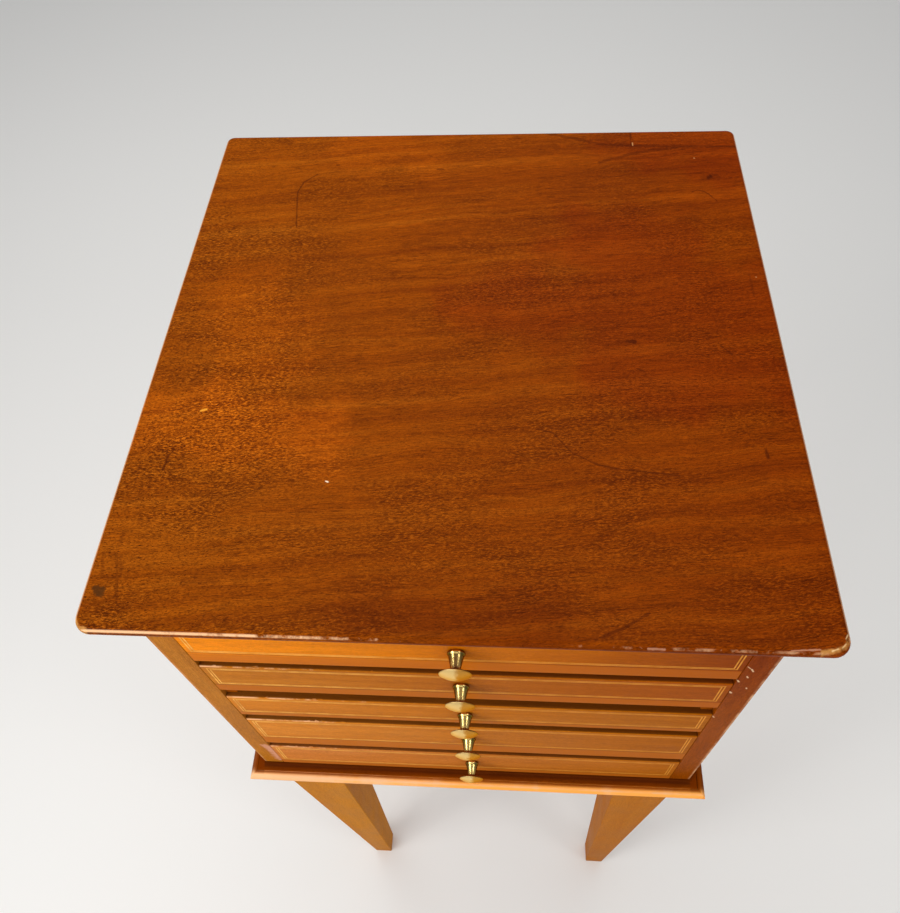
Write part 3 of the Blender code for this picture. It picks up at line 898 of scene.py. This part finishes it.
def make_case(context):
    """Side boards, back, rail, moulded base board, runners and kickers."""
    sizes, colours = context.scene.nightstand_sizes, context.scene.nightstand_colours
    tones = tones_of(colours, "case")
    # Mahogany with a satin polish. The left board's front edge takes the drawer fronts' paler
    # orange tan as painted light from its side. The right one keeps its red brown, with painted
    # shade under the top
    side_woods = {
        "left": wood(
            "lit_edge_mahogany_side", tones_of(colours, "front"), run="Z", shift=0.1, figure=0.6,
            flecks=0.4, dress=partial(
                dress_stile, colours=colours, rubs=((RUBS_LEFT, 5.0, 0.6, srgb("#E0A088")),),
                pale=0.3, kept=BEHIND_EDGE_TINT, sheltered=EVEN_TINT)),
        "right": wood(
            "satin_mahogany_side", tones, run="Z", shift=0.9, figure=0.6, flecks=0.4,
            dress=partial(
                dress_stile, colours=colours, rubs=((RUBS_RIGHT, 0.8, 0.6, srgb("#FFDCAC")),),
                pale=0.65, kept=EVEN_TINT, sheltered=OVERHANG_SHADE_TINT)),
    }
    # The same mahogany in the rail, which lies in the top's shade and has kept its colour
    level_wood = wood("satin_mahogany_level", tones, shift=0.2, flecks=0.5)
    # Mahogany strips that were never polished, dull with the dust that the drawers rub off
    strip_wood = wood("dusty_strip_wood", tones, run="Y", shift=0.4, flecks=0.5, roughness=0.7)

    back_low, back_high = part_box("back_panel")
    for hand, _ in HANDS:
        low, high = grown(back_low, back_high + Vector((0, PAST, PAST)), HIDDEN_FIT)
        rebate = add_block("rebate", low - Vector((0, 0, PAST)), high)
        make_board(
            "side_" + hand, sizes.arris, "carcass", side_woods[hand], [rebate])

    # A thin back board, planed and left bare: greyish tan and dull, with open pores
    back_wood = wood(
        "unpolished_back_board", tones_of(colours, "lining"), run="Z", shift=0.7, flecks=0.6,
        roughness=0.7)
    make_board("back_panel", BACK_ARRIS, "carcass", back_wood)
    make_board("top_rail", RAIL_ARRIS, "carcass", level_wood)

    # Mahogany run to a moulding and polished: dark with dirt and painted shade in the hollow, the
    # nose painted as sunlit and rubbed pale with painted highlights, and its ends painted in shade
    mould_wood = wood(
        "satin_mahogany_mould", tones, shift=0.6, figure=0.6, flecks=0.4,
        dress=partial(dress_mould, colours=colours))
    finish_piece(make_base_board(), "carcass", mould_wood, ["base_board"])

    strips = ["kicker_left", "kicker_right"]
    strips += [f"runner_{n}_{hand}" for n in DRAWERS[:-1] for hand, _ in HANDS]
    for node in strips:
        make_board(node, STRIP_ARRIS, "carcass", strip_wood)


# Shares of the moulded edge's thickness and projection that its rounded nose takes, then the
# sides of the quirk over it, the bead's radius, and how far past the case the hollow ends
NOSE_HEIGHT_SHARE = 0.74
NOSE_REACH_SHARE = 0.46
QUIRK_SIDE, QUIRK = 0.1 * MM, 0.5 * MM
BEAD = 1.0 * MM
HOLLOW_END = 0.6 * MM


def arc(centre, reach, rise, start, end, steps):
    """Points along a part of an ellipse, from one angle in degrees to another."""
    angles = [math.radians(start + (end - start) * step / steps) for step in range(steps + 1)]
    return [(centre[0] + reach * math.cos(a), centre[1] + rise * math.sin(a)) for a in angles]


def mould_outline():
    """The moulded edge as (projection past the case, height over the underside).

    A big rounded nose stands lowest and furthest out, then come a fine quirk, a small bead and a
    shallow hollow up to the case.
    """
    projection = CASE_LOW.x - BASE_LOW.x
    thickness = BASE_HIGH.z - BASE_LOW.z
    reach = projection * NOSE_REACH_SHARE
    rise = thickness * NOSE_HEIGHT_SHARE / 2
    points = arc((projection - reach, rise), reach, rise, -90, 90, 14)
    quirk, top = points[-1]
    points += [(quirk - QUIRK_SIDE, top - QUIRK), (quirk - QUIRK, top - QUIRK)]
    points += arc((quirk - QUIRK - BEAD, top + BEAD * 0.4), BEAD, BEAD, -20, 90, 7)[1:]
    inner, level = points[-1]
    points += arc((inner, thickness), inner - HOLLOW_END, level - thickness, 90, 180, 8)[1:]
    return points


def make_base_board():
    """Base board whose moulding is drawn up ring by ring from the underside."""
    outline = mould_outline()
    middle = (CASE_LOW.x + CASE_HIGH.x) / 2

    def reach(projection):
        half = (CASE_HIGH.x - CASE_LOW.x) / 2 + projection
        depth = BASE_HIGH.y - FRONT_Y + projection
        return half, depth

    half, depth = reach(outline[0][0])
    base = new_mesh(
        "base_board_piece", bpy.ops.mesh.primitive_plane_add, size=1.0,
        location=(middle, BASE_HIGH.y - 0.5, BASE_LOW.z))
    bpy.ops.object.mode_set(mode="EDIT")
    bpy.ops.mesh.select_all(action="SELECT")
    bpy.ops.transform.resize(
        value=(half * 2, depth, 1.0), center_override=(middle, BASE_HIGH.y, BASE_LOW.z))
    height = 0.0
    for projection, level in outline[1:]:
        new_half, new_depth = reach(projection)
        bpy.ops.mesh.extrude_region_move(
            TRANSFORM_OT_translate={"value": (0, 0, level - height)})
        bpy.ops.transform.resize(
            value=(new_half / half, new_depth / depth, 1.0),
            center_override=(middle, BASE_HIGH.y, BASE_LOW.z + level))
        half, depth, height = new_half, new_depth, level
    bpy.ops.mesh.select_all(action="SELECT")
    bpy.ops.mesh.normals_make_consistent(inside=False)
    bpy.ops.object.mode_set(mode="OBJECT")
    # Chips of the right corner in millimetres: from its corner and its underside, length and width
    chips = [
        ((BASE_HIGH.x - x * MM, BASE_LOW.y + y * MM, BASE_LOW.z + z * MM), long * MM, wide * MM)
        for x, y, z, long, wide in ((0.4, 0.6, 7.0, 2.4, 1.6), (5.0, 0.2, 7.6, 1.8, 0.9))]
    combine(base, nicks("chip", chips, 9), "DIFFERENCE")
    return base


def make_legs(context):
    """Square legs, tapered on all faces, with softly rounded arrises."""
    sizes, colours = context.scene.nightstand_sizes, context.scene.nightstand_colours
    # Mahogany with little polish left, an even tan made yellower by painted light bounced up
    # from a yellow floor, with painted shade at the right
    leg_wood = wood(
        "leg_mahogany_painted_light", tones_of(colours, "leg"), run="Z", shift=0.5, figure=0.5, flecks=0.2,
        gloss=0.003, dress=shade_right_legs)
    low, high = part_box(LEGS[0])
    shoulder = BASE_LOW.z - HIDDEN_FIT
    leg = add_block(LEGS[0] + "_piece", low, (high.x, high.y, shoulder))
    middle = (low + high) / 2
    only(leg)
    bpy.ops.object.mode_set(mode="EDIT")
    pick(leg, "FACE", lambda face: near(face.calc_center_median().z, low.z))
    share = LEG_FOOT / (high.x - low.x)
    bpy.ops.transform.resize(
        value=(share, share, 1.0), center_override=(middle.x, middle.y, low.z))
    bpy.ops.object.mode_set(mode="OBJECT")
    bevel_edges(
        leg, sizes.leg_arris, 3, lambda edge: not near(edge.verts[0].co.z, edge.verts[1].co.z))
    bevel_edges(leg, LEG_FOOT_ARRIS, 2, along(2, low.z))
    tenon = new_mesh(
        "tenon", bpy.ops.mesh.primitive_cylinder_add, vertices=32, radius=TENON_RADIUS,
        depth=high.z - shoulder + PAST,
        location=(middle.x, middle.y, (high.z + shoulder - PAST) / 2))
    combine(leg, [tenon], "UNION")
    repeat_piece(leg, LEGS, ["carcass"] * len(LEGS), leg_wood)


def line_frame(name, left, right, bottom, top, width, front, back):
    """Rectangular frame of one line, seen from the front."""
    frame_block = add_block(name, (left, front, bottom), (right, back, top))
    inner = add_block(
        "inner", (left + width, front - PAST, bottom + width),
        (right - width, back + PAST, top - width))
    combine(frame_block, [inner], "DIFFERENCE")
    return frame_block


def make_drawer(n, context, lines_wood, box_woods):
    """Front with its grooves and lines, sides, back and bottom of one drawer."""
    sizes, colours = context.scene.nightstand_sizes, context.scene.nightstand_colours
    body = name = f"drawer_{n}"
    low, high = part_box(name + "_front")
    knob_low, knob_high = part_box(name + "_knob")
    panel = grown(*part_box(name + "_bottom"), HIDDEN_FIT)
    front = add_block(name + "_front_piece", low, high)

    for level, width, segments in (
            (high.z, FRONT_TOP_ROUND, 5), (low.z, FRONT_LOWER_ARRIS, 2)):
        bevel_edges(
            front, width, segments,
            lambda edge: all(near(v.co.y, low.y) and near(v.co.z, level) for v in edge.verts))

    cutters = [add_block("panel_groove", *panel)]
    for hand, sign in HANDS:
        side_low, side_high = grown(*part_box(f"{name}_side_{hand}"), HIDDEN_FIT)
        cutters.append(add_block(
            "lap", (side_low.x - PAST * (sign < 0), side_low.y, low.z - PAST),
            (side_high.x + PAST * (sign > 0), high.y + PAST, high.z + PAST)))
    middle = (knob_low + knob_high) / 2
    cutters.append(add_rod("bore", STUD_BORE, low.y - PAST, high.y + PAST, middle.x, middle.z))

    line_bottom = low.z + LINE_BOTTOMS[n - 1]
    left = low.x + sizes.line_margin
    right = high.x - sizes.line_margin
    top = high.z - sizes.line_top
    lines = []
    for inset in (0.0, sizes.line_pitch):
        corners = (left + inset, right - inset, line_bottom + inset, top - inset)
        lines.append(line_frame(
            "line", *corners, sizes.line_width, low.y - PROUD, low.y + LINE_DEPTH))
        wider = (corners[0] - SEAM, corners[1] + SEAM, corners[2] - SEAM, corners[3] + SEAM)
        cutters.append(line_frame(
            "groove", *wider, sizes.line_width + 2 * SEAM, low.y - PAST, low.y + GROOVE_DEPTH))
    combine(front, cutters, "DIFFERENCE")

    # The top shelters the first front. The others' upper edges are nicked towards the left
    if n > 1:
        chance = random.Random(40 + n)
        places = [
            ((low.x + chance.uniform(0.005, 0.13), low.y + 0.3 * MM, high.z - 0.1 * MM),
             chance.uniform(1.5, 5.0) * MM, chance.uniform(0.5, 0.9) * MM)
            for _ in range(FRONT_NICKS)]
        combine(front, nicks("nick", places, 60 + n), "DIFFERENCE")

    # Straight-grained mahogany with a satin polish: quiet figure, with painted light making it gold
    # at the left end and painted shade making it red brown at the right, and dirt, painted shade,
    # wear and a painted highlight along the upper edge
    front_wood = wood(
        f"inlaid_mahogany_{n}", tones_of(colours, "front"), shift=0.37 * n, figure=0.5, flecks=0.3,
        dress=partial(
            dress_front, colours=colours, line_bottom=line_bottom, top=high.z,
            tints=FRONT_LIGHT_TINTS[n - 1]))
    finish_piece(front, body, front_wood, [name + "_front"])
    finish_piece(merge(name + "_lines", lines), body, lines_wood)

    for hand, _ in HANDS:
        groove = add_block("panel_groove", *panel)
        make_board(
            f"{name}_side_{hand}", BOX_SIDE_ARRIS, body, box_woods["side"],
            [groove])
    for part in ("back", "bottom"):
        make_board(
            f"{name}_{part}", BOX_PANEL_ARRIS, body, box_woods[part])


def make_drawers(context):
    """Drawer fronts with their inlaid lines, and the boxes behind them."""
    colours = context.scene.nightstand_colours
    lines_wood = line_material(colours)
    # Plain mahogany linings, planed and never polished: pale tan and dull, with fine open pores
    box_woods = {
        part: wood(
            f"drawer_{part}_wood", tones_of(colours, "lining"), run=run, shift=shift, flecks=0.5,
            roughness=0.6)
        for part, run, shift in (("side", "Y", 0.9), ("back", "X", 1.3), ("bottom", "X", 1.7))}
    for n in DRAWERS:
        make_drawer(n, context, lines_wood, box_woods)


def turned(name, outline, x, y, z, steps=48):
    """Solid of turning about a line along Y. The outline is (distance along -Y, radius)."""
    first = outline[0]
    thing = new_mesh(name, bpy.ops.mesh.primitive_plane_add, size=1 * MM, location=(x, y, z))
    bpy.ops.object.mode_set(mode="EDIT")
    bpy.ops.mesh.select_mode(type="VERT")
    bpy.ops.mesh.select_all(action="SELECT")
    bpy.ops.mesh.merge(type="CENTER")
    bpy.ops.transform.translate(value=(0, -first[0], first[1]))
    for (distance, radius), (last_distance, last_radius) in zip(outline[1:], outline):
        bpy.ops.mesh.extrude_region_move(
            TRANSFORM_OT_translate={"value": (0, last_distance - distance, radius - last_radius)})
    bpy.ops.mesh.select_all(action="SELECT")
    bpy.ops.mesh.spin(steps=steps, angle=2 * math.pi, center=(x, y, z), axis=(0, 1, 0))
    bpy.ops.mesh.select_all(action="SELECT")
    bpy.ops.mesh.remove_doubles(threshold=0.005 * MM)
    bpy.ops.mesh.normals_make_consistent(inside=False)
    bpy.ops.object.mode_set(mode="OBJECT")
    return thing


def make_knobs(context):
    """Brass knobs with their studs, and the nuts that hold them."""
    metal = brass_material(context.scene.nightstand_colours)
    bodies = [f"drawer_{n}" for n in DRAWERS]
    knobs, nuts = ([f"{body}_{part}" for body in bodies] for part in ("knob", "nut"))
    low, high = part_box(knobs[0])
    middle = (low + high) / 2
    foot = FRONT_Y - HIDDEN_FIT
    stud = high.y - foot
    outline = [
        (-stud, 0.0), (-stud, STUD_RADIUS - STUD_TIP), (-stud + STUD_TIP, STUD_RADIUS),
        (0.0, STUD_RADIUS)]
    outline += [(distance * MM, radius * MM) for distance, radius in KNOB_OUTLINE]
    knob = turned(knobs[0] + "_piece", outline, middle.x, foot, middle.z)
    repeat_piece(knob, knobs, bodies, metal, angle=50)

    low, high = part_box(nuts[0])
    nut = add_rod(
        nuts[0] + "_piece", (high.z - low.z) / 2, low.y, high.y, middle.x, middle.z, sides=6)
    bevel_edges(nut, NUT_ARRIS, 2, lambda edge: True)
    bore = add_rod("bore", STUD_BORE, low.y - PAST, high.y + PAST, middle.x, middle.z)
    combine(nut, [bore], "DIFFERENCE")
    repeat_piece(nut, nuts, bodies, metal)


def add_lamp(name, place, target, size, power):
    lamp = bpy.data.lights.new(name, "AREA")
    lamp.shape = "SQUARE"
    lamp.size = size
    lamp.energy = power
    thing = bpy.data.objects.new(name, lamp)
    bpy.context.collection.objects.link(thing)
    thing.location = place
    aim = Vector(target) - Vector(place)
    thing.rotation_euler = aim.to_track_quat("-Z", "Y").to_euler()
    thing.visible_camera = False


def make_stage(context):
    """Pale floor, soft lamps, an even world and the camera."""
    colours = context.scene.nightstand_colours
    floor = new_mesh(
        "floor", bpy.ops.mesh.primitive_plane_add, size=12.0, location=(0, 0, -0.1 * MM))
    # Matt emulsion paint on a smooth floor: no gloss, so that only soft shadows show on it
    paint, add = new_material("pale_floor")
    shader = add(
        "BsdfPrincipled",
        {"Base Color": opaque(colours.floor), "Roughness": 0.8, "Specular IOR Level": 0.1})
    add("OutputMaterial", {"Surface": shader})
    floor.data.materials.append(paint)

    world = bpy.data.worlds.new("even_world")
    context.scene.world = world
    world.use_nodes = True
    background = world.node_tree.nodes["Background"].inputs
    background["Color"].default_value = WORLD_COLOUR
    background["Strength"].default_value = WORLD_STRENGTH
    for lamp in LAMPS:
        add_lamp(*lamp)

    camera = bpy.data.cameras.new("camera")
    camera.sensor_fit = "HORIZONTAL"
    camera.sensor_width = 36.0
    camera.lens = CAMERA_LENS
    camera.shift_x, camera.shift_y = CAMERA_SHIFT
    camera.clip_start = 0.01
    thing = bpy.data.objects.new("camera", camera)
    bpy.context.collection.objects.link(thing)
    thing.location = CAMERA_PLACE
    turn = Euler((math.radians(90 - CAMERA_TILT), 0, math.radians(-CAMERA_PAN)))
    thing.rotation_mode = "QUATERNION"
    roll = Euler((0, 0, math.radians(CAMERA_ROLL))).to_quaternion()
    thing.rotation_quaternion = turn.to_quaternion() @ roll
    context.scene.camera = thing
    context.scene.view_settings.view_transform = "Standard"


# Add-on


class NIGHTSTAND_OT_top(bpy.types.Operator):
    """Make the top board with its repair"""
    bl_idname = "nightstand.make_top"
    bl_label = "Top"

    def execute(self, context):
        make_top(context)
        return {"FINISHED"}


class NIGHTSTAND_OT_case(bpy.types.Operator):
    """Make the boards of the case and its moulded base"""
    bl_idname = "nightstand.make_case"
    bl_label = "Case"

    def execute(self, context):
        make_case(context)
        return {"FINISHED"}


class NIGHTSTAND_OT_legs(bpy.types.Operator):
    """Make the four tapered legs"""
    bl_idname = "nightstand.make_legs"
    bl_label = "Legs"

    def execute(self, context):
        make_legs(context)
        return {"FINISHED"}


class NIGHTSTAND_OT_drawers(bpy.types.Operator):
    """Make the drawer fronts, their inlaid lines and their boxes"""
    bl_idname = "nightstand.make_drawers"
    bl_label = "Drawers"

    def execute(self, context):
        make_drawers(context)
        return {"FINISHED"}


class NIGHTSTAND_OT_knobs(bpy.types.Operator):
    """Make the turned knobs and their nuts"""
    bl_idname = "nightstand.make_knobs"
    bl_label = "Knobs"

    def execute(self, context):
        make_knobs(context)
        return {"FINISHED"}


class NIGHTSTAND_OT_stage(bpy.types.Operator):
    """Make the floor, lamps, world and camera"""
    bl_idname = "nightstand.make_stage"
    bl_label = "Stage"

    def execute(self, context):
        make_stage(context)
        return {"FINISHED"}


OPERATORS = (
    NIGHTSTAND_OT_top, NIGHTSTAND_OT_case, NIGHTSTAND_OT_legs, NIGHTSTAND_OT_drawers,
    NIGHTSTAND_OT_knobs, NIGHTSTAND_OT_stage,
)


class NIGHTSTAND_PT_panel(bpy.types.Panel):
    """Settings and steps of the nightstand"""
    bl_idname = "NIGHTSTAND_PT_panel"
    bl_label = "Nightstand"
    bl_space_type = "VIEW_3D"
    bl_region_type = "UI"
    bl_category = "Nightstand"

    def draw(self, context):
        for group in (context.scene.nightstand_sizes, context.scene.nightstand_colours):
            box = self.layout.box()
            for key in group.__annotations__:
                box.prop(group, key)
        for operator in OPERATORS:
            self.layout.operator(operator.bl_idname)


CLASSES = (NightstandSizes, NightstandColours, *OPERATORS, NIGHTSTAND_PT_panel)


def register():
    for item in CLASSES:
        bpy.utils.register_class(item)
    bpy.types.Scene.nightstand_sizes = bpy.props.PointerProperty(type=NightstandSizes)
    bpy.types.Scene.nightstand_colours = bpy.props.PointerProperty(type=NightstandColours)


def unregister():
    del bpy.types.Scene.nightstand_colours
    del bpy.types.Scene.nightstand_sizes
    for item in reversed(CLASSES):
        bpy.utils.unregister_class(item)


def main():
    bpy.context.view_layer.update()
    register()
    bpy.ops.nightstand.make_top()
    bpy.ops.nightstand.make_case()
    bpy.ops.nightstand.make_legs()
    bpy.ops.nightstand.make_drawers()
    bpy.ops.nightstand.make_knobs()
    bpy.ops.nightstand.make_stage()
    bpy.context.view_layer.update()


if __name__ == "__main__":
    main()
